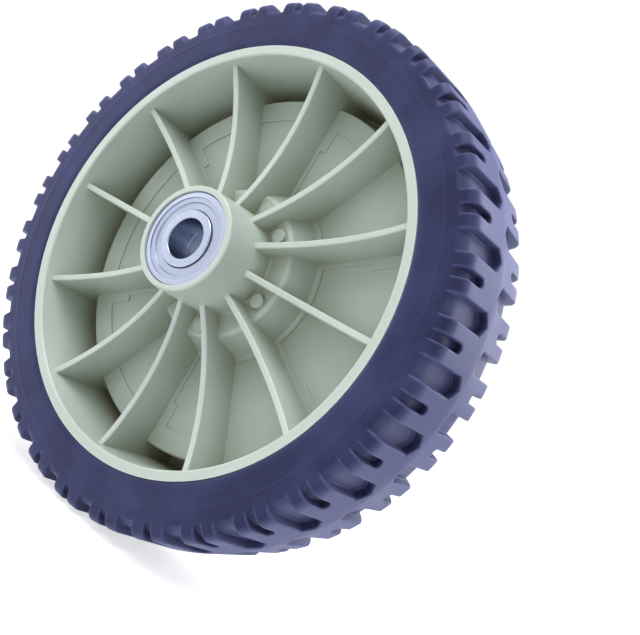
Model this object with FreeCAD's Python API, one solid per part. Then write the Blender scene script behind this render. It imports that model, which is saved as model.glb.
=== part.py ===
import FreeCAD, Part
import math
import os

# Lawn mower wheel: a ribbed plastic rim, a moulded rubber tyre and two shielded ball bearings on a spacer sleeve.
# Lengths are in millimetres. The wheel turns about Y, its vaned face looks towards -Y, and Z is up.
# Sections are drawn as (radius, y) and turned about Y. y = 0 is the middle of the tyre's width.

# Tyre
TYRE_DIAMETER = 205.4       # over the crown of the tread
TYRE_WIDTH = 43.9
SIDEWALL_HEIGHT = 20.9      # from the rim's lip to the crown of the tread
SIDEWALL_BEVEL = 5.5        # width of the band that rises from the rim's lip to the flat sidewall
BEAD_CHAMFER = 0.6          # leaves a fine groove between the tyre and the rim's lip
SHOULDER_RADIUS = 4.0       # rounding between the lug's end and its top
TREAD_CROWN = 1.5           # how far the tread falls from its middle to the shoulders

# Tread pockets: in each pitch and on each side, one wide pocket with a pointed end and one narrow round-ended slot
TREAD_PITCHES = 30
TREAD_TURN = 0.5            # degrees by which the tread is turned on from the vane on +X
WIDE_POCKET_WIDTH = 7.8
WIDE_POCKET_DEPTH = 3.1
WIDE_POCKET_POINT = 2.6     # length of the pointed end
CENTRE_BAND = 2.0           # unbroken width between the two rows of points
NARROW_POCKET_WIDTH = 3.4
NARROW_POCKET_DEPTH = 2.6
NARROW_POCKET_LENGTH = 11.2  # from the sidewall to the round end
POCKET_RUN_OUT = 5.75       # below the shoulder's top, where the pockets run out on the sidewall
POCKET_DRAFT = 6.0          # degrees
POCKET_FLOOR_ROUNDING = 8.0  # where the floor bends down towards the sidewall

# Rim barrel and the tyre's seat on it
RIM_DIAMETER = TYRE_DIAMETER - 2 * SIDEWALL_HEIGHT
RIM_WIDTH = 43.6            # from the lip's face to the flange's face
LIP_WIDTH = 3.7             # radial width of the lip's face
LIP_THICKNESS = 3.0
SEAT_DROP = 1.0             # from the lip's edge down to the tyre's seat
LOCATING_RIB_WIDTH = 9.0
LOCATING_RIB_HEIGHT = 0.9
TYRE_CLEARANCE = 0.1
BARREL_TAPER = 0.9          # how far the barrel's inner wall closes in towards the flange

# Rim disc, its step wall and flange
WALL = 3.0
DISC_DEPTH = 23.5           # from the lip's face to the disc
VALLEY_WIDTH = 6.1          # between the barrel and the disc's edge
STEP_WALL_TAPER = 2.5       # how far the step wall opens out on its way to the flange
PANEL_STEP = 0.5            # depth of the six shallow panels in each face of the disc
PANEL_EDGE_MARGIN = 8.5     # from the disc's edge to the panels
PANEL_HUB_MARGIN = 1.5      # from the collar's foot to the panels
STRIP_COUNT = 6
STRIP_WIDTH = 6.0
STRIP_HEAD_WIDTH = 11.0
STRIP_HEAD_LENGTH = 9.0

# Roundings of the rim's moulding
EDGE_ROUNDING = 0.8
CORNER_FILLET = 1.5
COLLAR_ROUNDING = 2.0

# Hub, its collar and the pegs on the collar
HUB_PROUD = 12.0            # how far the hub stands out of the lip's plane
HUB_LENGTH = 39.5
HUB_WALL = 2.1              # round the bearing at the mouth
HUB_TAPER = 0.8             # how far the hub widens from its mouth to the collar
COLLAR_HEIGHT = 11.5        # above the disc
COLLAR_TOP_WIDTH = 8.3
COLLAR_SLOPE = 5.0          # how far the collar widens from its top to its foot
HUB_SHOULDER_STEP = 3.0     # radial height of the shoulder that the bearings seat on
PEG_DIAMETER = 5.2
PEG_HEIGHT = 1.8
PEG_GAPS = (1, 2, 3, 5, 7, 9, 11)  # the gaps between vanes that hold a peg, counted from the vane on +X

# Vanes
VANE_COUNT = 12
VANE_EDGE_THICKNESS = 2.3
VANE_FOOT_THICKNESS = 3.0
VANE_RIM_DROP = 3.5         # below the lip's plane where the vane meets the barrel
VANE_HUB_DROP = 1.7         # the same where it meets the hub
VANE_MIDDLE_DROP = 7.9      # the same half-way, at the bottom of the swoop
VANE_EDGE_ROUNDING = 0.5

# Ball bearings
BEARING_BORE = 15.0
BEARING_DIAMETER = 35.0
BEARING_WIDTH = 11.0
BEARING_RECESS = 0.7        # below the hub's face
BEARING_SEAT_CLEARANCE = 0.02
OUTER_RING_ROUNDING = 0.6
INNER_RING_ROUNDING = 0.5
BALL_DIAMETER = 5.953
BALL_COUNT = 8
BALL_CLEARANCE = 0.03
RACEWAY_CONFORMITY = 0.52   # raceway radius over ball diameter
RACE_SHOULDER = 1.8         # from the balls' pitch circle to the shoulder of each ring

# Bearing cage, two pressed halves riveted between the balls
CAGE_WIDTH = 2.4
CAGE_SHEET = 0.5
CAGE_BALL_CLEARANCE = 0.1
RIVET_DIAMETER = 0.8
RIVET_HEAD_DIAMETER = 1.5
RIVET_HEAD_HEIGHT = 0.3
RIVET_CLEARANCE = 0.02

# Bearing shields
SHIELD_SHEET = 0.35
SHIELD_RECESS = 0.35        # below the ring's face
SHIELD_STEP = 0.5           # from the outer flat down to the inner one
SHIELD_STEP_RUN = 0.3
SHIELD_FLAT_WIDTH = 1.75    # width of the outer flat
SHIELD_INNER_GAP = 0.25     # to the inner ring
SHIELD_CLEARANCE = 0.04
SHIELD_CRIMP = 0.35         # how far the crimped edge reaches into its groove
OUTER_RING_LAND = 2.1       # width of the outer ring's face

# Spacer sleeve between the inner rings
SLEEVE_BORE_RELIEF = 0.5    # how far the sleeve's bore is wider than the axle bore
SLEEVE_WALL = 2.2

# Places that follow from the sizes above
ORIGIN = FreeCAD.Vector(0, 0, 0)
AXLE = FreeCAD.Vector(0, 1, 0)
tyre_r = TYRE_DIAMETER / 2
tyre_half = TYRE_WIDTH / 2
shoulder_r = tyre_r - TREAD_CROWN
lip_r = RIM_DIAMETER / 2
lip_y = -RIM_WIDTH / 2
flange_y = RIM_WIDTH / 2
seat_r = lip_r - SEAT_DROP
barrel_r = lip_r - LIP_WIDTH
disc_y = lip_y + DISC_DEPTH
disc_back_y = disc_y + WALL
disc_r = barrel_r - VALLEY_WIDTH
hub_front_y = lip_y - HUB_PROUD
hub_back_y = hub_front_y + HUB_LENGTH
bearing_r = BEARING_DIAMETER / 2
bearing_half = BEARING_WIDTH / 2
bearing_seat_r = bearing_r + BEARING_SEAT_CLEARANCE
hub_r = bearing_r + HUB_WALL
hub_foot_r = hub_r + HUB_TAPER
collar_y = disc_y - COLLAR_HEIGHT
collar_r = hub_foot_r + COLLAR_TOP_WIDTH
collar_foot_r = collar_r + COLLAR_SLOPE
front_bearing_y = hub_front_y + BEARING_RECESS + bearing_half
back_bearing_y = hub_back_y - BEARING_RECESS - bearing_half
pitch_r = (BEARING_BORE + BEARING_DIAMETER) / 4
ball_r = BALL_DIAMETER / 2
bore_r = BEARING_BORE / 2


def section(corners):
    """Flat face through (radius, y) corners. A third value in a corner is its rounding radius."""
    points = [FreeCAD.Vector(c[0], c[1], 0) for c in corners]
    edges = []
    joints = []
    for k, corner in enumerate(corners):
        here = points[k]
        if len(corner) < 3:
            joints.append((here, here))
            continue
        back = (points[k - 1] - here).normalize()
        ahead = (points[(k + 1) % len(points)] - here).normalize()
        half_angle = back.getAngle(ahead) / 2
        start = here + back * (corner[2] / math.tan(half_angle))
        end = here + ahead * (corner[2] / math.tan(half_angle))
        middle = here + (back + ahead).normalize() * (corner[2] / math.sin(half_angle) - corner[2])
        edges.append(Part.Arc(start, middle, end).toShape())
        joints.append((start, end))
    for k, (start, end) in enumerate(joints):
        edges.append(Part.makeLine(joints[k - 1][1], start))
    return Part.Face(Part.Wire(Part.__sortEdges__(edges)))


def turned(corners):
    """Solid of revolution about the axle from a section's corners."""
    return section(corners).revolve(ORIGIN, AXLE, 360)


def tube(inner_r, outer_r, low_y, high_y):
    """Plain ring between two radii and two places along the axle."""
    return turned([(inner_r, low_y), (outer_r, low_y), (outer_r, high_y), (inner_r, high_y)])


def turned_to(shape, degrees):
    """Copy turned about the axle. Angles count from +X towards +Z."""
    copy = shape.copy()
    copy.rotate(ORIGIN, AXLE, -degrees)
    return copy


def placed(shape, y):
    """Copy moved along the axle."""
    copy = shape.copy()
    copy.translate(AXLE * y)
    return copy


def flipped(shape):
    """Mirror image through the plane y = 0."""
    return shape.mirror(ORIGIN, AXLE)


def barrel_outline(clearance):
    """Corners of the tyre's seat from the lip's face to the flange's face, lifted off the rim by a clearance."""
    lip_edge = lip_y + LIP_THICKNESS
    flange_edge = flange_y - LIP_THICKNESS
    groove_half = LOCATING_RIB_WIDTH / 2
    seat = [
        (lip_r, lip_y),
        (lip_r, lip_edge),
        (seat_r, lip_edge + SEAT_DROP),
        (seat_r, -groove_half),
        (seat_r - LOCATING_RIB_HEIGHT, -groove_half + LOCATING_RIB_HEIGHT),
        (seat_r - LOCATING_RIB_HEIGHT, groove_half - LOCATING_RIB_HEIGHT),
        (seat_r, groove_half),
        (seat_r, flange_edge - SEAT_DROP),
        (lip_r, flange_edge),
        (lip_r, flange_y),
    ]
    return [(r + clearance, y) for r, y in seat]


def carcass(pocket_depth):
    """Everything under the floor of a pocket: the floor, and the slope on which it runs out on the sidewall."""
    edge_r = shoulder_r - pocket_depth
    slope_y = tyre_half - (POCKET_RUN_OUT - pocket_depth)
    overrun = tyre_half
    foot_r = edge_r - overrun
    return turned([
        (foot_r / 2, -slope_y - overrun),
        (foot_r, -slope_y - overrun),
        (edge_r, -slope_y, POCKET_FLOOR_ROUNDING),
        (tyre_r - pocket_depth, 0),
        (edge_r, slope_y, POCKET_FLOOR_ROUNDING),
        (foot_r, slope_y + overrun),
        (foot_r / 2, slope_y + overrun),
    ])


def pocket_plan(radius, width, end_y, point):
    """Closed wire of a pocket on the -Y shoulder, seen along +X. A point of 0 gives a round end."""
    inset = (tyre_r - radius) * math.tan(math.radians(POCKET_DRAFT))
    half = width / 2 - inset
    mouth_y = -tyre_half - WIDE_POCKET_DEPTH
    tip_y = end_y - inset
    shoulder_y = tip_y - (point if point else half)
    start = FreeCAD.Vector(radius, shoulder_y, -half)
    tip = FreeCAD.Vector(radius, tip_y, 0)
    finish = FreeCAD.Vector(radius, shoulder_y, half)
    mouth = [FreeCAD.Vector(radius, mouth_y, half), FreeCAD.Vector(radius, mouth_y, -half)]
    end = Part.makePolygon([start, tip, finish]).Edges if point else [Part.Arc(start, tip, finish).toShape()]
    sides = Part.makePolygon([finish] + mouth + [start]).Edges
    return Part.Wire(end + sides)


def pocket(width, depth, end_y, point):
    """Cutter for one tread pocket on the -Y shoulder at +X, with drafted walls and a floor on the carcass."""
    low = shoulder_r - POCKET_RUN_OUT - depth
    high = tyre_r + depth
    plans = [pocket_plan(low, width, end_y, point), pocket_plan(high, width, end_y, point)]
    return Part.makeLoft(plans, True, True).cut(carcass(depth))


def make_tyre():
    """Rubber tyre: lugs stand in pairs on both shoulders, and the far shoulder is set half a pitch on."""
    bead_r = lip_r + TYRE_CLEARANCE
    bevel_r = bead_r + SIDEWALL_BEVEL
    chamfer_y = flange_y - BEAD_CHAMFER
    ring = turned([(bead_r, -chamfer_y)] + barrel_outline(TYRE_CLEARANCE)[1:-1] + [
        (bead_r, chamfer_y),
        (bead_r + BEAD_CHAMFER, flange_y),
        (bevel_r, tyre_half),
        (shoulder_r, tyre_half, SHOULDER_RADIUS),
        (tyre_r, 0),
        (shoulder_r, -tyre_half, SHOULDER_RADIUS),
        (bevel_r, -tyre_half),
        (bead_r + BEAD_CHAMFER, -flange_y),
    ])
    wide = pocket(WIDE_POCKET_WIDTH, WIDE_POCKET_DEPTH, -CENTRE_BAND / 2, WIDE_POCKET_POINT)
    narrow = pocket(NARROW_POCKET_WIDTH, NARROW_POCKET_DEPTH, NARROW_POCKET_LENGTH - tyre_half, 0)
    pitch = 360 / TREAD_PITCHES
    cutters = []
    for k in range(TREAD_PITCHES):
        cutters.append(turned_to(wide, pitch * k))
        cutters.append(turned_to(narrow, pitch * (k + 0.5)))
        cutters.append(turned_to(flipped(narrow), pitch * k))
        cutters.append(turned_to(flipped(wide), pitch * (k + 0.5)))
    return turned_to(ring.cut(cutters), TREAD_TURN)


def make_vane():
    """One swooping vane along +X, a drafted plate whose ends and foot are sunk into the walls that carry it."""
    sunk = WALL / 2
    foot_y = disc_y + sunk
    inner_r = hub_r - HUB_WALL / 4
    outer_r = barrel_r + (seat_r - LOCATING_RIB_HEIGHT - barrel_r) / 2
    collar_middle_r = collar_r - sunk
    hub_end = FreeCAD.Vector(inner_r, lip_y + VANE_HUB_DROP, 0)
    swoop = FreeCAD.Vector((hub_r + barrel_r) / 2, lip_y + VANE_MIDDLE_DROP, 0)
    rim_end = FreeCAD.Vector(outer_r, lip_y + VANE_RIM_DROP, 0)
    under = [
        rim_end,
        FreeCAD.Vector(outer_r, flange_y - sunk, 0),
        FreeCAD.Vector(disc_r + STEP_WALL_TAPER - sunk, flange_y - sunk, 0),
        FreeCAD.Vector(disc_r - sunk, foot_y, 0),
        FreeCAD.Vector(collar_foot_r - sunk, foot_y, 0),
        FreeCAD.Vector(collar_middle_r, collar_y + sunk, 0),
        FreeCAD.Vector(inner_r, collar_y + sunk, 0),
        hub_end,
    ]
    edge = Part.Arc(hub_end, swoop, rim_end).toShape()
    face = Part.Face(Part.Wire([edge] + Part.makePolygon(under).Edges))
    plate = face.extrude(FreeCAD.Vector(0, 0, VANE_FOOT_THICKNESS))
    plate.translate(FreeCAD.Vector(0, 0, -VANE_FOOT_THICKNESS / 2))
    edge_half = VANE_EDGE_THICKNESS / 2
    foot_half = VANE_FOOT_THICKNESS / 2
    wedge = Part.Face(Part.makePolygon([
        FreeCAD.Vector(0, lip_y, -edge_half),
        FreeCAD.Vector(0, lip_y, edge_half),
        FreeCAD.Vector(0, flange_y, foot_half),
        FreeCAD.Vector(0, flange_y, -foot_half),
        FreeCAD.Vector(0, lip_y, -edge_half),
    ])).extrude(FreeCAD.Vector(tyre_r, 0, 0))
    vane = plate.common(wedge)
    swoop_y = lip_y + VANE_MIDDLE_DROP
    top_edges = [e for e in vane.Edges if e.BoundBox.YMax <= swoop_y + WALL and e.BoundBox.XLength > VALLEY_WIDTH]
    return vane.makeFillet(VANE_EDGE_ROUNDING, top_edges)


def make_panels(inner_r, outer_r, low_y):
    """The six shallow panels of one face of the disc, parted by strips with T-shaped heads at the rim end."""
    high_y = low_y + PANEL_STEP
    panels = tube(inner_r, outer_r, low_y, high_y)
    stem = Part.makeBox(outer_r, PANEL_STEP, STRIP_WIDTH, FreeCAD.Vector(0, low_y, -STRIP_WIDTH / 2))
    head_start = outer_r - STRIP_HEAD_LENGTH
    head_corner = FreeCAD.Vector(head_start, low_y, -STRIP_HEAD_WIDTH / 2)
    head = Part.makeBox(STRIP_HEAD_LENGTH + WALL, PANEL_STEP, STRIP_HEAD_WIDTH, head_corner)
    strip = stem.fuse(head).removeSplitter()
    pitch = 360 / STRIP_COUNT
    return panels.cut([turned_to(strip, pitch * (k + 0.5)) for k in range(STRIP_COUNT)])


def make_rim():
    """Plastic rim, one moulding: barrel, flange, step wall, disc, collar, hub, vanes and pegs."""
    step_back_r = disc_r - WALL
    collar_wall = math.hypot(COLLAR_SLOPE, COLLAR_HEIGHT) / COLLAR_HEIGHT * WALL
    recess_y = collar_y + WALL
    recess_slope = COLLAR_SLOPE / COLLAR_HEIGHT
    recess_r = collar_r - collar_wall + recess_slope * WALL
    recess_mouth_r = recess_r + recess_slope * (disc_back_y - recess_y)
    shoulder_r = bearing_seat_r - HUB_SHOULDER_STEP
    front_seat_y = front_bearing_y + bearing_half
    back_seat_y = back_bearing_y - bearing_half
    body = turned([
        (bearing_seat_r, hub_front_y),
        (hub_r, hub_front_y, EDGE_ROUNDING),
        (hub_foot_r, collar_y, EDGE_ROUNDING),
        (collar_r, collar_y, COLLAR_ROUNDING),
        (collar_foot_r, disc_y, CORNER_FILLET),
        (disc_r, disc_y, EDGE_ROUNDING),
        (disc_r + STEP_WALL_TAPER, flange_y - WALL),
        (barrel_r - BARREL_TAPER, flange_y - WALL),
        (barrel_r, lip_y, EDGE_ROUNDING),
    ] + barrel_outline(0) + [
        (step_back_r + STEP_WALL_TAPER + WALL / 2, flange_y, CORNER_FILLET),
        (step_back_r, disc_back_y, CORNER_FILLET),
        (recess_mouth_r, disc_back_y, EDGE_ROUNDING),
        (recess_r, recess_y, CORNER_FILLET),
        (hub_foot_r, recess_y, EDGE_ROUNDING),
        (hub_r, hub_back_y, EDGE_ROUNDING),
        (bearing_seat_r, hub_back_y),
        (bearing_seat_r, back_seat_y),
        (shoulder_r, back_seat_y),
        (shoulder_r, front_seat_y),
        (bearing_seat_r, front_seat_y),
    ])
    front_panels = make_panels(collar_foot_r + PANEL_HUB_MARGIN, disc_r - PANEL_EDGE_MARGIN, disc_y)
    back_panels = make_panels(
        recess_mouth_r + PANEL_HUB_MARGIN, step_back_r - PANEL_EDGE_MARGIN, disc_back_y - PANEL_STEP)
    body = body.cut([front_panels, back_panels])
    vane_pitch = 360 / VANE_COUNT
    vane = make_vane()
    vanes = [turned_to(vane, vane_pitch * k) for k in range(VANE_COUNT)]
    peg_centre = FreeCAD.Vector((hub_foot_r + collar_r) / 2, collar_y + WALL / 2, 0)
    peg = Part.makeCylinder(PEG_DIAMETER / 2, PEG_HEIGHT + WALL / 2, peg_centre, AXLE * -1)
    pegs = [turned_to(peg, vane_pitch * (gap + 0.5)) for gap in PEG_GAPS]
    return body.fuse(vanes + pegs).removeSplitter()


def make_outer_ring():
    """Outer ring of a bearing, with a deep raceway and a crimping groove for a shield at each face."""
    mouth_r = bearing_r - OUTER_RING_LAND
    groove_r = mouth_r + SHIELD_CRIMP + SHIELD_CLEARANCE
    groove_high = bearing_half - SHIELD_RECESS - SHIELD_SHEET
    groove_low = groove_high - SHIELD_SHEET - 2 * SHIELD_CLEARANCE
    shoulder_r = pitch_r + RACE_SHOULDER
    upper = [
        (bearing_r, bearing_half, OUTER_RING_ROUNDING),
        (mouth_r, bearing_half),
        (mouth_r, groove_high),
        (groove_r, groove_high),
        (groove_r, groove_low),
        (shoulder_r, groove_low),
    ]
    lower = [(c[0], -c[1]) + tuple(c[2:]) for c in reversed(upper)]
    raceway_r = BALL_DIAMETER * RACEWAY_CONFORMITY
    raceway_centre = pitch_r + ball_r + BALL_CLEARANCE - raceway_r
    return turned(upper + lower).cut(Part.makeTorus(raceway_centre, raceway_r, ORIGIN, AXLE))


def make_inner_ring():
    """Inner ring of a bearing, with its raceway and rounded edges. The axle passes through it."""
    shoulder_r = pitch_r - RACE_SHOULDER
    raceway_r = BALL_DIAMETER * RACEWAY_CONFORMITY
    raceway_centre = pitch_r - ball_r - BALL_CLEARANCE + raceway_r
    ring = turned([
        (bore_r, -bearing_half, INNER_RING_ROUNDING),
        (shoulder_r, -bearing_half, INNER_RING_ROUNDING),
        (shoulder_r, bearing_half, INNER_RING_ROUNDING),
        (bore_r, bearing_half, INNER_RING_ROUNDING),
    ])
    return ring.cut(Part.makeTorus(raceway_centre, raceway_r, ORIGIN, AXLE))


def make_ball_set(radius):
    """Spheres of one radius at the places of the balls."""
    sphere = Part.makeSphere(radius, FreeCAD.Vector(pitch_r, 0, 0))
    return [turned_to(sphere, 360 / BALL_COUNT * k) for k in range(BALL_COUNT)]


def make_cage_half():
    """The half of the pressed cage on the +Y side: flat lands between the balls and a cup round each ball."""
    inner_r = pitch_r - CAGE_WIDTH / 2
    outer_r = pitch_r + CAGE_WIDTH / 2
    pocket_r = ball_r + CAGE_BALL_CLEARANCE
    cup_r = pocket_r + CAGE_SHEET
    lands = tube(inner_r, outer_r, 0, CAGE_SHEET)
    band = tube(inner_r, outer_r, 0, cup_r)
    cups = [sphere.common(band) for sphere in make_ball_set(cup_r)]
    hole = Part.makeCylinder(
        RIVET_DIAMETER / 2 + RIVET_CLEARANCE, CAGE_SHEET, FreeCAD.Vector(pitch_r, 0, 0), AXLE)
    holes = [turned_to(hole, 360 / BALL_COUNT * (k + 0.5)) for k in range(BALL_COUNT)]
    return lands.fuse(cups).cut(make_ball_set(pocket_r) + holes)


def make_rivets():
    """The rivets that hold the two cage halves together, one between each pair of balls."""
    shank = Part.makeCylinder(
        RIVET_DIAMETER / 2, 2 * CAGE_SHEET, FreeCAD.Vector(pitch_r, -CAGE_SHEET, 0), AXLE)
    head = Part.makeCylinder(
        RIVET_HEAD_DIAMETER / 2, RIVET_HEAD_HEIGHT, FreeCAD.Vector(pitch_r, CAGE_SHEET, 0), AXLE)
    rivet = shank.fuse([head, flipped(head)]).removeSplitter()
    return Part.makeCompound([turned_to(rivet, 360 / BALL_COUNT * (k + 0.5)) for k in range(BALL_COUNT)])


def make_shield():
    """Stepped sheet shield of the +Y face: crimped edge in the outer ring, free edge beside the inner ring."""
    mouth_r = bearing_r - OUTER_RING_LAND - SHIELD_CLEARANCE
    crimp_r = mouth_r + SHIELD_CRIMP + SHIELD_CLEARANCE
    flat_y = bearing_half - SHIELD_RECESS
    step_y = flat_y - SHIELD_STEP
    crimp_y = flat_y - SHIELD_SHEET - SHIELD_CLEARANCE
    step_r = mouth_r - SHIELD_FLAT_WIDTH
    free_r = pitch_r - RACE_SHOULDER + SHIELD_INNER_GAP
    return turned([
        (free_r, step_y),
        (step_r - SHIELD_STEP_RUN, step_y),
        (step_r, flat_y),
        (mouth_r, flat_y),
        (mouth_r, crimp_y),
        (crimp_r, crimp_y),
        (crimp_r, crimp_y - SHIELD_SHEET),
        (mouth_r - SHIELD_SHEET, crimp_y - SHIELD_SHEET),
        (mouth_r - SHIELD_SHEET, flat_y - SHIELD_SHEET),
        (step_r + SHIELD_SHEET / 2, flat_y - SHIELD_SHEET),
        (step_r - SHIELD_STEP_RUN + SHIELD_SHEET / 2, step_y - SHIELD_SHEET),
        (free_r, step_y - SHIELD_SHEET),
    ])


def make_sleeve():
    """Steel sleeve that keeps the two inner rings apart."""
    inner_r = bore_r + SLEEVE_BORE_RELIEF
    low_y = front_bearing_y + bearing_half
    high_y = back_bearing_y - bearing_half
    return tube(inner_r, inner_r + SLEEVE_WALL, low_y, high_y)


outer_ring = make_outer_ring()
inner_ring = make_inner_ring()
cage_half = make_cage_half()
shield = make_shield()
bearing_pieces = {
    "outer_ring": outer_ring,
    "inner_ring": inner_ring,
    "balls": Part.makeCompound(make_ball_set(ball_r)),
    "cage_front_half": flipped(cage_half),
    "cage_back_half": cage_half,
    "cage_rivets": make_rivets(),
    "front_shield": flipped(shield),
    "back_shield": shield,
}
pieces = {"rim": make_rim(), "tyre": make_tyre(), "spacer_sleeve": make_sleeve()}
for side, centre_y in (("vane_side", front_bearing_y), ("disc_side", back_bearing_y)):
    for name, shape in bearing_pieces.items():
        pieces[side + "_" + name] = placed(shape, centre_y)

os.makedirs("parts", exist_ok=True)
for name, shape in pieces.items():
    shape.exportStep("parts/" + name + ".step")
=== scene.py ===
import bmesh
import bpy
import math
from mathutils import Matrix, Vector
from mathutils.geometry import delaunay_2d_cdt


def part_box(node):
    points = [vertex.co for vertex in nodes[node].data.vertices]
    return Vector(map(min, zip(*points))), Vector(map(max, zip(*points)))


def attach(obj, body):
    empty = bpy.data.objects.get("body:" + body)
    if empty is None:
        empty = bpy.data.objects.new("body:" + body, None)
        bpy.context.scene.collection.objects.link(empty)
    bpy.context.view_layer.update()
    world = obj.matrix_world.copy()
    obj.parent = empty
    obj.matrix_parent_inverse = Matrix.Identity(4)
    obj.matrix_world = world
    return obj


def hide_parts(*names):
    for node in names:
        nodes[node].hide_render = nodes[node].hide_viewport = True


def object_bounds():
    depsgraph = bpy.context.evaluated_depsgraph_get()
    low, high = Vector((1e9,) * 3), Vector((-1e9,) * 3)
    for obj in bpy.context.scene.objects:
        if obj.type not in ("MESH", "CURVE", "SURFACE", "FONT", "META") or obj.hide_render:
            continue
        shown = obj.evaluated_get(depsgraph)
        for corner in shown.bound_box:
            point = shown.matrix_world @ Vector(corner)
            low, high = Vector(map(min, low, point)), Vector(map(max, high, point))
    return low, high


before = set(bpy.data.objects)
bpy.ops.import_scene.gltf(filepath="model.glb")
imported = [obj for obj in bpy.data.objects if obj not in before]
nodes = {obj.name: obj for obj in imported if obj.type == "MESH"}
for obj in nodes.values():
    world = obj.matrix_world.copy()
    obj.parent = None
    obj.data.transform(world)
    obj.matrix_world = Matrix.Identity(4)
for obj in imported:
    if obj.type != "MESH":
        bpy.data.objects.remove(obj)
cad_low, cad_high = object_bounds()
bpy.context.scene.view_settings.view_transform = "Standard"


# Rim: one moulding in pale sage plastic, with barrel, disc, hub, vanes and pegs out of the same
# mould. Its skin has the mould's faint grain and is paler along the edges, partly as wear from
# handling and partly as painted highlight. Its colour is darker and yellower in the hollows as
# painted shade, and brown deep in the valley between the barrel and the disc as painted shade.
MM = 0.001
SAGE = (0.55, 0.62, 0.575, 1)
# Pale sage along the edges: partly wear from handling, partly painted highlight.
SAGE_PALE = (0.62, 0.68, 0.68, 1)
# Darker sage: the moulding's darker tone in its cloud, and painted shade in the hollows.
SAGE_DARK_TONE_AND_SHADE = (0.375, 0.435, 0.36, 1)
SAGE_ROUGHNESS = (0.30, 0.40)
# Brown painted shade for the deepest part of the valley between the barrel and the disc.
VALLEY_PAINTED_SHADE = (0.42, 0.38, 0.26, 1)
EDGE_OPENNESS = (0.95, 0.45)
HOLLOW_OPENNESS = (0.75, 0.15)
OPENNESS_SAMPLES = 6
MIX_SHARE = 0
MIX_FIRST_COLOUR = 6
MIX_SECOND_COLOUR = 7
MIX_COLOUR_RESULT = 2


def put(tree, kind, sockets=(), **settings):
    """Adds one shader node. Sockets gives an input's value, or the output that feeds it,
    by the input's name or number."""
    made = tree.nodes.new("ShaderNode" + kind)
    for name, value in settings.items():
        setattr(made, name, value)
    for key, value in dict(sockets).items():
        if isinstance(value, bpy.types.NodeSocket):
            tree.links.new(value, made.inputs[key])
        else:
            made.inputs[key].default_value = value
    return made


def ranged(tree, value, span, to):
    """Value carried from one span to another and held inside it."""
    ends = {"From Min": span[0], "From Max": span[1], "To Min": to[0], "To Max": to[1]}
    return put(tree, "MapRange", {"Value": value, **ends}).outputs["Result"]


def blended(tree, first, second, value, span, share):
    """Colour that goes from the first towards the second while a value runs over a span.
    Share is how far it goes."""
    sockets = {
        MIX_SHARE: ranged(tree, value, span, to=(0.0, share)),
        MIX_FIRST_COLOUR: first,
        MIX_SECOND_COLOUR: second,
    }
    return put(tree, "Mix", sockets, data_type="RGBA").outputs[MIX_COLOUR_RESULT]


def new_group(name, inputs, outputs):
    """Empty node group with named number sockets, and its two end nodes."""
    group = bpy.data.node_groups.new(name, "ShaderNodeTree")
    for title, value in inputs.items():
        socket = group.interface.new_socket(title, in_out="INPUT", socket_type="NodeSocketFloat")
        socket.default_value = value
    for title in outputs:
        group.interface.new_socket(title, in_out="OUTPUT", socket_type="NodeSocketFloat")
    return group, group.nodes.new("NodeGroupInput"), group.nodes.new("NodeGroupOutput")


def placed_group(tree, group, values):
    """Puts a node group into a material with its own values."""
    made = tree.nodes.new("ShaderNodeGroup")
    made.node_tree = group
    for name, value in values.items():
        made.inputs[name].default_value = value
    return made.outputs


def noise(tree, place, scale, detail):
    """Even noise between 0 and 1."""
    sockets = {"Vector": place, "Scale": scale, "Detail": detail}
    return put(tree, "TexNoise", sockets).outputs["Fac"]


def make_mould_grain():
    """Skin of a moulding: Cloud drifts slowly over the piece, Grain is its fine even texture."""
    inputs = {"Cloud Scale": 40, "Grain Scale": 1500}
    group, given, result = new_group("mould_grain", inputs, ("Cloud", "Grain"))
    place = put(group, "TexCoord").outputs["Object"]
    cloud = noise(group, place, given.outputs["Cloud Scale"], detail=4.0)
    grain = noise(group, place, given.outputs["Grain Scale"], detail=2.0)
    group.links.new(cloud, result.inputs["Cloud"])
    group.links.new(grain, result.inputs["Grain"])
    return group


def make_edges_and_hollows():
    """Edge is 1 along outer edges, Hollow is 1 deep in corners. Reaches are in metres."""
    inputs = {"Edge Reach": 0.0006, "Hollow Reach": 0.02}
    group, given, result = new_group("edges_and_hollows", inputs, ("Edge", "Hollow"))
    inside = put(group, "AmbientOcclusion", {"Distance": given.outputs["Edge Reach"]},
                 samples=OPENNESS_SAMPLES, inside=True, only_local=True)
    outside = put(group, "AmbientOcclusion", {"Distance": given.outputs["Hollow Reach"]},
                  samples=OPENNESS_SAMPLES, only_local=True)
    edge = ranged(group, inside.outputs["AO"], EDGE_OPENNESS, to=(0.0, 1.0))
    hollow = ranged(group, outside.outputs["AO"], HOLLOW_OPENNESS, to=(0.0, 1.0))
    group.links.new(edge, result.inputs["Edge"])
    group.links.new(hollow, result.inputs["Hollow"])
    return group


def new_material(name, **sockets):
    """Material with a Principled shader, its plain values set by socket name."""
    material = bpy.data.materials.new(name)
    material.use_nodes = True
    shader = material.node_tree.nodes["Principled BSDF"]
    for title, value in sockets.items():
        shader.inputs[title.replace("_", " ")].default_value = value
    return material, material.node_tree, shader


def dress(node, material):
    """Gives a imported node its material."""
    node.data.materials.clear()
    node.data.materials.append(material)


def relief(tree, shader, height, strength, distance):
    """Feeds a height to the shader's normal."""
    bump = put(tree, "Bump", {"Height": height, "Strength": strength, "Distance": distance})
    tree.links.new(bump.outputs["Normal"], shader.inputs["Normal"])


mould_grain = make_mould_grain()
edges_and_hollows = make_edges_and_hollows()


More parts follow.
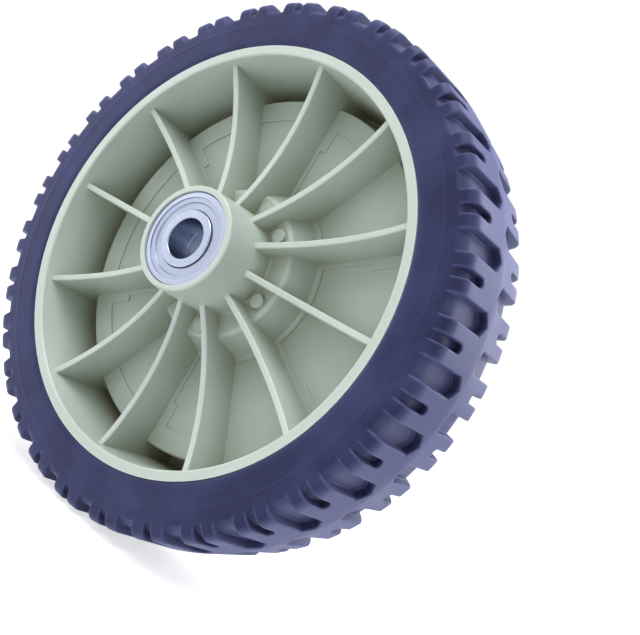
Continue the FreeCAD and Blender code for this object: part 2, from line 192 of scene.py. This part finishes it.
def make_sage_plastic():
    material, tree, shader = new_material("sage_plastic", IOR=1.5)
    skin = placed_group(tree, mould_grain, {"Cloud Scale": 35, "Grain Scale": 2200})
    reaches = {"Edge Reach": 0.7 * MM, "Hollow Reach": 22 * MM}
    # Edge and hollow masks: they carry the paler edges, partly wear and partly painted highlight,
    # and the painted shade in the hollows.
    edge_and_hollow_masks = placed_group(tree, edges_and_hollows, reaches)
    flow = blended(tree, SAGE, SAGE_DARK_TONE_AND_SHADE, skin["Cloud"], span=(0.35, 0.65), share=0.12)
    # Paler along the edges: partly wear from handling, partly painted highlight.
    edged = blended(tree, flow, SAGE_PALE, edge_and_hollow_masks["Edge"], span=(0.1, 1.0), share=0.7)
    # Painted shade: darker and yellower in the hollows.
    shaded = blended(tree, edged, SAGE_DARK_TONE_AND_SHADE, edge_and_hollow_masks["Hollow"], span=(0.05, 0.7), share=0.85)
    # Painted shade: brown deep in the valley between the barrel and the disc.
    valley_shaded = blended(tree, shaded, VALLEY_PAINTED_SHADE, edge_and_hollow_masks["Hollow"], span=(0.7, 1.0), share=0.7)
    tree.links.new(valley_shaded, shader.inputs["Base Color"])
    gloss = ranged(tree, skin["Cloud"], span=(0.3, 0.7), to=SAGE_ROUGHNESS)
    tree.links.new(gloss, shader.inputs["Roughness"])
    relief(tree, shader, skin["Grain"], strength=0.06, distance=0.2 * MM)
    return material


dress(nodes["rim"], make_sage_plastic())


# Tyre: one rubber moulding, pressed over the barrel and held behind the lip. Wide pointed pockets
# and narrow round-ended ones part its lugs in turn, and the far shoulder is half a pitch on. A fine
# ring stands on each sidewall, and the mould's two halves meet on the middle of the tread.
TREAD_PITCHES = 30
TREAD_TURN = math.radians(0.5)
TREAD_CROWN = 1.5 * MM
SHOULDER_R = 4.0 * MM
SIDEWALL_BEVEL = 5.5 * MM
POCKET_RUN_OUT = 5.75 * MM
POCKET_DRAFT = math.radians(6)
POCKET_FLOOR_R = 8.0 * MM
LUG_ROUNDING = 0.55 * MM
CENTRE_BAND = 2.0 * MM
NARROW_LENGTH = 11.2 * MM
SEAM_WIDTH = 0.5 * MM
SEAM_DEPTH = 0.12 * MM
RING_R = 91.2 * MM
RING_WIDTH = 1.2 * MM
RING_HEIGHT = 0.12 * MM
BEAD_CHAMFER = 0.6 * MM
LIP_THICKNESS = 3.0 * MM
SEAT_DROP = 1.0 * MM
SEAT_RIB_WIDTH = 9.0 * MM
SEAT_RIB_HEIGHT = 0.9 * MM
SEAT_CLEARANCE = 0.1 * MM
PITCH_COLUMNS = 16
CROWN_ROWS = 12
SHOULDER_ROWS = 5
RING_ROWS = (-0.5, -0.25, 0.0, 0.25, 0.5)
EDGE_STEPS = 3
TIP_STEPS = 4
WHOLE_HULL = 0
SAME_PLACE = 1e-4
WELD_DISTANCE = 0.02 * MM
PLUM_BLACK = (0.010, 0.010, 0.034, 1)
# Pale plum: scuffs in the cloud, and along the lug edges partly wear and partly painted highlight.
PLUM_WEAR_AND_HIGHLIGHT = (0.150, 0.170, 0.380, 1)
# Near black painted shade for the pockets' walls and corners.
PLUM_PAINTED_SHADE = (0.005, 0.005, 0.012, 1)
PLUM_GLOSS = (0.42, 0.47, 1, 1)
PLUM_SHEEN = (0.36, 0.39, 1, 1)
PLUM_ROUGHNESS = (0.42, 0.54)
# Paler plum on the tread: painted light and sheen where the tread catches the light.
TREAD_PAINTED_LIGHT = (0.058, 0.064, 0.134, 1)

tyre_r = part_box("tyre")[1].x
tyre_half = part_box("tyre")[1].y
rim_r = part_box("rim")[1].x
rim_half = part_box("rim")[1].y
pitch_length = 2 * math.pi * tyre_r / TREAD_PITCHES
crown_fall = math.atan2(TREAD_CROWN, tyre_half)
shoulder_cut = SHOULDER_R * math.cos(crown_fall) / (1 + math.sin(crown_fall))
wall_top_r = tyre_r - TREAD_CROWN - shoulder_cut
crown_v = math.hypot(tyre_half, TREAD_CROWN) - shoulder_cut
arc_v = crown_v + SHOULDER_R * (math.pi / 2 - crown_fall)
run_out_v = arc_v + POCKET_RUN_OUT - shoulder_cut
lip_v = arc_v + wall_top_r - rim_r - SEAT_CLEARANCE

# Pockets of one pitch: place along the tread, half width, depth, distance of the tip from the
# middle of the tread, and length of the pointed end, which is 0 for a round one.
WIDE_POCKET = {
    "place": 0.0,
    "half": 3.9 * MM,
    "depth": 3.1 * MM,
    "tip": CENTRE_BAND / 2,
    "point": 2.6 * MM,
}
NARROW_POCKET = {
    "place": pitch_length / 2,
    "half": 1.7 * MM,
    "depth": 2.6 * MM,
    "tip": tyre_half - NARROW_LENGTH,
    "point": 0.0,
}


def tyre_skin(v):
    """Radius and half width on the tyre's skin. The distance v runs along it from the middle of
    the tread to the rim's lip."""
    if v <= crown_v:
        seam = SEAM_DEPTH * max(0.0, 1 - 2 * v / SEAM_WIDTH)
        return Vector((tyre_r - v * math.sin(crown_fall) - seam, v * math.cos(crown_fall)))
    if v <= arc_v:
        turn = crown_fall + (v - crown_v) / SHOULDER_R
        half_width = tyre_half - SHOULDER_R * (1 - math.sin(turn))
        return Vector((wall_top_r + SHOULDER_R * math.cos(turn), half_width))
    r = wall_top_r - (v - arc_v)
    bevel = max(0.0, 1 - (r - rim_r - SEAT_CLEARANCE) / SIDEWALL_BEVEL)
    ring = max(0.0, 1 - (2 * (r - RING_R) / RING_WIDTH) ** 2)
    groove = max(0.0, BEAD_CHAMFER - (r - rim_r - SEAT_CLEARANCE))
    return Vector((r, tyre_half - bevel * (tyre_half - rim_half) + ring * RING_HEIGHT - groove))


def pocket_floor(pocket, v):
    """Radius and half width on the floor of a pocket, which slopes out onto the sidewall."""
    bend_v = tyre_half - (POCKET_RUN_OUT - pocket["depth"])
    middle = Vector((tyre_r - pocket["depth"], 0.0))
    bend = Vector((tyre_r - TREAD_CROWN - pocket["depth"], bend_v))
    run_out = Vector((tyre_r - TREAD_CROWN - POCKET_RUN_OUT, tyre_half))
    reach = POCKET_FLOOR_R * math.tan((math.pi / 4 - crown_fall) / 2)
    start = bend + (middle - bend).normalized() * reach
    end = bend + (run_out - bend).normalized() * reach
    end_v = bend_v + (run_out_v - bend_v) * (end - bend).length / (run_out - bend).length
    if v <= start.y:
        return middle.lerp(start, v / start.y)
    if v >= end_v:
        return end.lerp(run_out, min(1.0, (v - end_v) / (run_out_v - end_v)))
    share = (v - start.y) / (end_v - start.y)
    return start.lerp(bend, share).lerp(bend.lerp(end, share), share)


def pocket_inset(pocket, t, v):
    """How far a place on the skin lies inside the pocket's outline, less than 0 outside it."""
    across = abs(t - pocket["place"])
    side = pocket["half"] - across
    if pocket["point"]:
        slant = math.hypot(pocket["half"], pocket["point"])
        return min(side, ((v - pocket["tip"]) * pocket["half"] - across * pocket["point"]) / slant)
    centre_v = pocket["tip"] + pocket["half"]
    return side if v > centre_v else pocket["half"] - math.hypot(across, centre_v - v)


def wall_rows(pocket):
    """(inset, share of the depth) down a pocket's wall: rounded edge, drafted wall and fillet."""
    depth = pocket["depth"]
    lean = (depth - 2 * LUG_ROUNDING) * math.tan(POCKET_DRAFT)
    edge = []
    for k in range(EDGE_STEPS + 1):
        turn = math.radians(90 * k / EDGE_STEPS)
        inset = LUG_ROUNDING * (math.sin(turn) - 1)
        edge.append((inset, LUG_ROUNDING * (1 - math.cos(turn)) / depth))
    return edge + [(lean - inset, 1 - share) for inset, share in reversed(edge)]


def wall_share(rows, inset):
    """Share of the pocket's depth at an inset."""
    if inset <= rows[0][0]:
        return 0.0
    for (low, low_share), (high, high_share) in zip(rows, rows[1:]):
        if inset <= high:
            return low_share + (high_share - low_share) * (inset - low) / (high - low)
    return 1.0


def pocket_contour(pocket, inset, levels):
    """Places on the skin at one inset from a pocket's outline, from mouth to tip and back."""
    half = pocket["half"] - inset
    if pocket["point"]:
        slant = math.hypot(pocket["half"], pocket["point"])
        tip_v = pocket["tip"] + inset * slant / pocket["half"]
        corner_v = tip_v + half * pocket["point"] / pocket["half"]
        turn = [(-half, corner_v), (-half / 2, (tip_v + corner_v) / 2), (0.0, tip_v)]
    else:
        corner_v = pocket["tip"] + pocket["half"]
        angles = [math.radians(90 * k / TIP_STEPS) for k in range(TIP_STEPS + 1)]
        turn = [(-half * math.cos(a), corner_v - half * math.sin(a)) for a in angles]
    side = [(-half, v) for v in reversed(levels) if corner_v + LUG_ROUNDING < v <= run_out_v]
    arm = side + turn
    whole = arm + [(-t, v) for t, v in reversed(arm[:-1])]
    return [(t + pocket["place"], v) for t, v in whole]


def tread_levels():
    """Rows of the tyre's mesh, as distances along the skin from the middle of the tread."""
    crown = [crown_v * k / CROWN_ROWS for k in range(1, CROWN_ROWS)]
    arc = arc_v - crown_v
    shoulder = [crown_v + arc * k / SHOULDER_ROWS for k in range(SHOULDER_ROWS + 1)]
    ring_v = arc_v + wall_top_r - RING_R
    ring = [ring_v + RING_WIDTH * row for row in RING_ROWS]
    bevel_v = lip_v - SIDEWALL_BEVEL
    bead = [bevel_v, (bevel_v + lip_v) / 2, lip_v - BEAD_CHAMFER, lip_v]
    sidewall = [run_out_v, (run_out_v + ring[0]) / 2] + ring + bead
    return [0.0, SEAM_WIDTH / 2] + crown + shoulder + sidewall


def tread_module():
    """Mesh of one pitch of one shoulder as (angle, radius, half width), with its triangles and
    the columns along the tread. It is laid out flat in millimetres and then put on the skin."""
    pockets = (WIDE_POCKET, NARROW_POCKET)
    levels = tread_levels()
    start = -(WIDE_POCKET["half"] + pitch_length / 2 - NARROW_POCKET["half"]) / 2
    columns = [start + pitch_length * k / PITCH_COLUMNS for k in range(PITCH_COLUMNS + 1)]
    walls = [wall_rows(pocket) for pocket in pockets]
    margin = LUG_ROUNDING / 2
    bands = [(rows[0][0] - margin, rows[-1][0] + margin) for rows in walls]
    places = []
    chains = []
    for pocket, rows in zip(pockets, walls):
        for inset, _ in rows:
            first = len(places)
            places.extend(pocket_contour(pocket, inset, levels))
            chains.extend((k, k + 1) for k in range(first, len(places) - 1))
    for v in levels:
        for t in columns:
            insets = [pocket_inset(pocket, t, v) for pocket in pockets]
            on_wall = any(low < inset < high for inset, (low, high) in zip(insets, bands))
            if v > run_out_v or not on_wall:
                places.append((t, v))
    flat = [Vector((t / MM, v / MM)) for t, v in places]
    corners, _, triangles, _, _, _ = delaunay_2d_cdt(flat, chains, [], WHOLE_HULL, SAME_PLACE)
    module = []
    for corner in corners:
        t, v = corner * MM
        spot = tyre_skin(v)
        if v < run_out_v:
            for pocket, rows in zip(pockets, walls):
                share = wall_share(rows, pocket_inset(pocket, t, v))
                spot = spot.lerp(pocket_floor(pocket, v), share)
        module.append((t / tyre_r, spot.x, spot.y))
    return module, triangles, columns


def seat_rows():
    """Radius and y of the tyre's bore, from the near lip to the far flange."""
    bore = rim_r + SEAT_CLEARANCE
    seat = bore - SEAT_DROP
    behind_lip = rim_half - LIP_THICKNESS
    half = [
        (bore, rim_half - BEAD_CHAMFER),
        (bore, behind_lip),
        (seat, behind_lip - SEAT_DROP),
        (seat, SEAT_RIB_WIDTH / 2),
        (seat - SEAT_RIB_HEIGHT, SEAT_RIB_WIDTH / 2 - SEAT_RIB_HEIGHT),
    ]
    return [(r, -y) for r, y in half] + [(r, y) for r, y in reversed(half)]


def on_wheel(angle, r, y):
    """Point of the wheel. Angles count from +X towards +Z."""
    return (r * math.cos(angle), y, r * math.sin(angle))


def make_tyre():
    module, triangles, columns = tread_module()
    points = []
    faces = []
    pitch = 2 * math.pi / TREAD_PITCHES
    for side in (-1, 1):
        for k in range(TREAD_PITCHES):
            turn = TREAD_TURN + pitch * (k if side < 0 else k + 0.5)
            first = len(points)
            points.extend(on_wheel(angle + turn, r, side * y) for angle, r, y in module)
            faces.extend(tuple(first + corner for corner in face) for face in triangles)
    rows = seat_rows()
    start = TREAD_TURN + columns[0] / tyre_r
    angles = [start + pitch * k / PITCH_COLUMNS for k in range(TREAD_PITCHES * PITCH_COLUMNS)]
    for (low_r, low_y), (high_r, high_y) in zip(rows, rows[1:]):
        first = len(points)
        for angle in angles:
            points.append(on_wheel(angle, low_r, low_y))
            points.append(on_wheel(angle, high_r, high_y))
        count = len(points) - first
        for k in range(0, count, 2):
            ahead = (k + 2) % count
            faces.append((first + k, first + ahead, first + ahead + 1, first + k + 1))
    mesh = bpy.data.meshes.new("tyre_moulding")
    mesh.from_pydata(points, [], faces)
    shape = bmesh.new()
    shape.from_mesh(mesh)
    bmesh.ops.remove_doubles(shape, verts=shape.verts, dist=WELD_DISTANCE)
    bmesh.ops.recalc_face_normals(shape, faces=shape.faces)
    shape.to_mesh(mesh)
    shape.free()
    mesh.shade_smooth()
    tyre = bpy.data.objects.new("tyre_moulding", mesh)
    bpy.context.scene.collection.objects.link(tyre)
    tyre.modifiers.new("flat_faces_stay_flat", "WEIGHTED_NORMAL")
    return tyre


def make_plum_rubber():
    """Plum black rubber, painted paler on the tread, which faces away from the axle, as painted
    light and sheen.
    """
    material, tree, shader = new_material(
        "plum_rubber", IOR=1.5, Specular_IOR_Level=0.42, Specular_Tint=PLUM_GLOSS,
        Sheen_Weight=0.36, Sheen_Tint=PLUM_SHEEN)
    skin = placed_group(tree, mould_grain, {"Cloud Scale": 55, "Grain Scale": 1300})
    reaches = {"Edge Reach": 0.9 * MM, "Hollow Reach": 6 * MM}
    edge_and_hollow_masks = placed_group(tree, edges_and_hollows, reaches)
    facing = put(tree, "SeparateXYZ", {"Vector": put(tree, "TexCoord").outputs["Normal"]})
    sideways = put(tree, "Math", {0: facing.outputs["Y"]}, operation="ABSOLUTE").outputs["Value"]
    # Painted light: paler where the skin faces away from the axle, for the light and sheen on the
    # tread.
    tread_lit = blended(tree, PLUM_BLACK, TREAD_PAINTED_LIGHT, sideways, span=(0.9, 0.4), share=1.0)
    # Paler along the lug edges: partly wear, partly painted highlight.
    edged = blended(tree, tread_lit, PLUM_WEAR_AND_HIGHLIGHT, edge_and_hollow_masks["Edge"], span=(0.1, 0.8), share=0.8)
    clouded = blended(tree, edged, PLUM_WEAR_AND_HIGHLIGHT, skin["Cloud"], span=(0.4, 0.7), share=0.14)
    # Painted shade: near black down the pocket walls and in their corners.
    pocket_shaded = blended(tree, clouded, PLUM_PAINTED_SHADE, edge_and_hollow_masks["Hollow"], span=(0.05, 0.5), share=0.95)
    tree.links.new(pocket_shaded, shader.inputs["Base Color"])
    gloss = ranged(tree, skin["Cloud"], span=(0.3, 0.7), to=PLUM_ROUGHNESS)
    tree.links.new(gloss, shader.inputs["Roughness"])
    relief(tree, shader, skin["Grain"], strength=0.12, distance=0.25 * MM)
    return material


tyre = make_tyre()
dress(tyre, make_plum_rubber())
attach(tyre, "wheel")
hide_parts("tyre")


# Bearings: two shielded ball bearings, pushed into the hub's mouths against its inner shoulder.
# Their rings are turned and ground, the shields and cages are pressed sheet, the balls polished.
RING_STEEL = (0.31, 0.35, 0.46, 1)
RING_BRIGHT = (0.50, 0.545, 0.68, 1)
SHIELD_STEEL = (0.275, 0.31, 0.41, 1)
SHIELD_PALE = (0.385, 0.425, 0.535, 1)
CAGE_STEEL = (0.40, 0.40, 0.42, 1)
CAGE_STAIN = (0.28, 0.26, 0.24, 1)
BALL_STEEL = (0.72, 0.76, 0.82, 1)
BALL_FILM = (0.55, 0.52, 0.45, 1)
# Near black painted shade for the corners and gaps between the bearing's pieces.
STEEL_PAINTED_SHADE = (0.05, 0.05, 0.06, 1)


def make_turning_marks():
    """Marks of the lathe: Line follows the tool round the axle, Smudge is an uneven oily film."""
    inputs = {"Lines": 9000, "Smudge Scale": 180}
    group, given, result = new_group("turning_marks", inputs, ("Line", "Smudge"))
    place = put(group, "TexCoord").outputs["Object"]
    split = put(group, "SeparateXYZ", {"Vector": place}).outputs
    level = put(group, "CombineXYZ", {"X": split["X"], "Z": split["Z"]}).outputs["Vector"]
    radius = put(group, "VectorMath", {0: level}, operation="LENGTH").outputs["Value"]
    along = put(group, "Math", {0: radius, 1: split["Y"]}, operation="ADD").outputs["Value"]
    lines = put(group, "TexNoise", {"W": along, "Scale": given.outputs["Lines"], "Detail": 2.0},
                noise_dimensions="1D")
    smudge = noise(group, place, given.outputs["Smudge Scale"], detail=3.0)
    group.links.new(lines.outputs["Fac"], result.inputs["Line"])
    group.links.new(smudge, result.inputs["Smudge"])
    return group


turning_marks = make_turning_marks()


def make_steel(name, plain, bright, roughness, lines, line_depth):
    """Steel with turning marks, brighter along its edges, partly as wear and partly as painted
    highlight, and near black in its corners and gaps as painted shade.
    """
    material, tree, shader = new_material(name, Metallic=1.0)
    marks = placed_group(tree, turning_marks, {"Lines": lines, "Smudge Scale": 160})
    reaches = {"Edge Reach": 0.5 * MM, "Hollow Reach": 1.5 * MM}
    edge_and_hollow_masks = placed_group(tree, edges_and_hollows, reaches)
    turned = blended(tree, plain, bright, marks["Line"], span=(0.3, 0.7), share=0.5)
    # Brighter along the edges: partly wear, partly painted highlight.
    edged = blended(tree, turned, bright, edge_and_hollow_masks["Edge"], span=(0.1, 1.0), share=0.5)
    # Painted shade: near black in corners and gaps.
    corner_shaded = blended(tree, edged, STEEL_PAINTED_SHADE, edge_and_hollow_masks["Hollow"], span=(0.3, 1.0), share=0.9)
    tree.links.new(corner_shaded, shader.inputs["Base Color"])
    gloss = ranged(tree, marks["Smudge"], span=(0.3, 0.7), to=roughness)
    tree.links.new(gloss, shader.inputs["Roughness"])
    relief(tree, shader, marks["Line"], strength=line_depth, distance=0.05 * MM)
    return material


ring_steel = make_steel(
    "ground_ring_steel", RING_STEEL, RING_BRIGHT,
    roughness=(0.2, 0.32), lines=9000, line_depth=0.15)
shield_steel = make_steel(
    "pressed_shield_steel", SHIELD_STEEL, SHIELD_PALE,
    roughness=(0.34, 0.46), lines=5000, line_depth=0.1)
cage_steel = make_steel(
    "pressed_cage_steel", CAGE_STAIN, CAGE_STEEL,
    roughness=(0.35, 0.5), lines=3000, line_depth=0.1)
ball_steel = make_steel(
    "polished_ball_steel", BALL_STEEL, BALL_FILM,
    roughness=(0.08, 0.16), lines=600, line_depth=0.0)
bearing_finish = {
    "outer_ring": ring_steel,
    "inner_ring": ring_steel,
    "balls": ball_steel,
    "cage_front_half": cage_steel,
    "cage_back_half": cage_steel,
    "cage_rivets": cage_steel,
    "front_shield": shield_steel,
    "back_shield": shield_steel,
}
for side in ("vane_side_", "disc_side_"):
    for piece, finish in bearing_finish.items():
        dress(nodes[side + piece], finish)


# Spacer sleeve: a cut length of drawn steel tube between the two inner rings, so that the axle
# bolt can be drawn tight without loading the balls. It is dull, with the tube's faint lines, and
# its grey is painted dark as painted shade for its place deep in the bore.
# Dark grey: painted shade for the sleeve's place deep in the bore.
SLEEVE_SHADED_GREY = (0.22, 0.26, 0.35, 1)
SLEEVE_BRIGHT = (0.45, 0.50, 0.62, 1)

sleeve_steel = make_steel(
    "drawn_sleeve_steel", SLEEVE_SHADED_GREY, SLEEVE_BRIGHT,
    roughness=(0.3, 0.45), lines=2500, line_depth=0.2)
dress(nodes["spacer_sleeve"], sleeve_steel)


# Stage: a pale floor under the wheel and a white surround, lit by large soft lamps.
# Camera and mirror rays see the surround as white, and the floor keeps the wheel's soft shadow.
FLOOR_HALF = 6.0
FLOOR_PALE = (0.86, 0.86, 0.86, 1)
FLOOR_GLOW = 0.64
SURROUND_LIGHT = 0.5
SURROUND_WHITE = (1, 1, 1, 1)


def larger(tree, first, second):
    """The larger of two values."""
    return put(tree, "Math", {0: first, 1: second}, operation="MAXIMUM").outputs["Value"]


def seen_directly(tree):
    """1 on rays from the camera, off a mirror or through glass, and 0 on the rest."""
    path = put(tree, "LightPath").outputs
    mirror = larger(tree, path["Is Glossy Ray"], path["Is Transmission Ray"])
    return larger(tree, path["Is Camera Ray"], mirror)


def make_floor():
    corners = [(-1, -1), (1, -1), (1, 1), (-1, 1)]
    points = [(x * FLOOR_HALF, y * FLOOR_HALF, cad_low.z) for x, y in corners]
    mesh = bpy.data.meshes.new("floor")
    mesh.from_pydata(points, [], [(0, 1, 2, 3)])
    floor = bpy.data.objects.new("floor", mesh)
    bpy.context.scene.collection.objects.link(floor)
    material = bpy.data.materials.new("pale_floor")
    material.use_nodes = True
    tree = material.node_tree
    tree.nodes.clear()
    matt = put(tree, "BsdfDiffuse", {"Color": FLOOR_PALE})
    glow_share = put(tree, "Math", {0: seen_directly(tree), 1: FLOOR_GLOW}, operation="MULTIPLY")
    glow = put(tree, "Emission", {"Strength": glow_share.outputs["Value"]})
    both = put(tree, "AddShader", {0: matt.outputs["BSDF"], 1: glow.outputs["Emission"]})
    put(tree, "OutputMaterial", {"Surface": both.outputs["Shader"]})
    mesh.materials.append(material)


def make_surround():
    world = bpy.data.worlds.new("white_surround")
    bpy.context.scene.world = world
    world.use_nodes = True
    tree = world.node_tree
    light = ranged(tree, seen_directly(tree), span=(0.0, 1.0), to=(SURROUND_LIGHT, 1.0))
    background = tree.nodes["Background"]
    tree.links.new(light, background.inputs["Strength"])
    background.inputs["Color"].default_value = SURROUND_WHITE


def softbox(name, place, size, power):
    """Round area lamp that looks at the wheel's middle."""
    lamp = bpy.data.lights.new(name, "AREA")
    lamp.shape = "DISK"
    lamp.size = size
    lamp.energy = power
    holder = bpy.data.objects.new(name, lamp)
    holder.location = place
    holder.rotation_mode = "QUATERNION"
    holder.rotation_quaternion = (-Vector(place)).to_track_quat("-Z", "Y")
    bpy.context.scene.collection.objects.link(holder)


make_floor()
make_surround()
softbox("key_lamp", place=(0.05, -0.9, 0.9), size=0.7, power=4.0)
softbox("side_lamp", place=(-1.1, -0.7, 0.2), size=0.7, power=1.8)
softbox("top_lamp", place=(-0.1, -0.35, 1.1), size=0.7, power=7.4)
softbox("back_lamp", place=(0.4, 0.85, 0.4), size=0.9, power=4.8)


# Camera: stands in front of the vaned face, off to +X and level with the axle, and is rolled to
# the left. Its lens is the one that the photograph's perspective asks for.
CAMERA_PLACE = (225.0 * MM, -257.7 * MM, -7.8 * MM)
CAMERA_AIM = (-0.5776, 0.8160, 0.0238)
CAMERA_ROLL = math.radians(30.2)
CAMERA_NEAREST = 0.01
LENS = 51.23

camera = bpy.data.objects.new("camera", bpy.data.cameras.new("camera"))
camera.data.sensor_fit = "HORIZONTAL"
camera.data.lens = LENS
camera.data.clip_start = CAMERA_NEAREST
aim = Vector(CAMERA_AIM).to_track_quat("-Z", "Y").to_matrix().to_4x4()
roll = Matrix.Rotation(CAMERA_ROLL, 4, "Z")
camera.matrix_world = Matrix.Translation(CAMERA_PLACE) @ aim @ roll
bpy.context.scene.collection.objects.link(camera)
bpy.context.scene.camera = camera
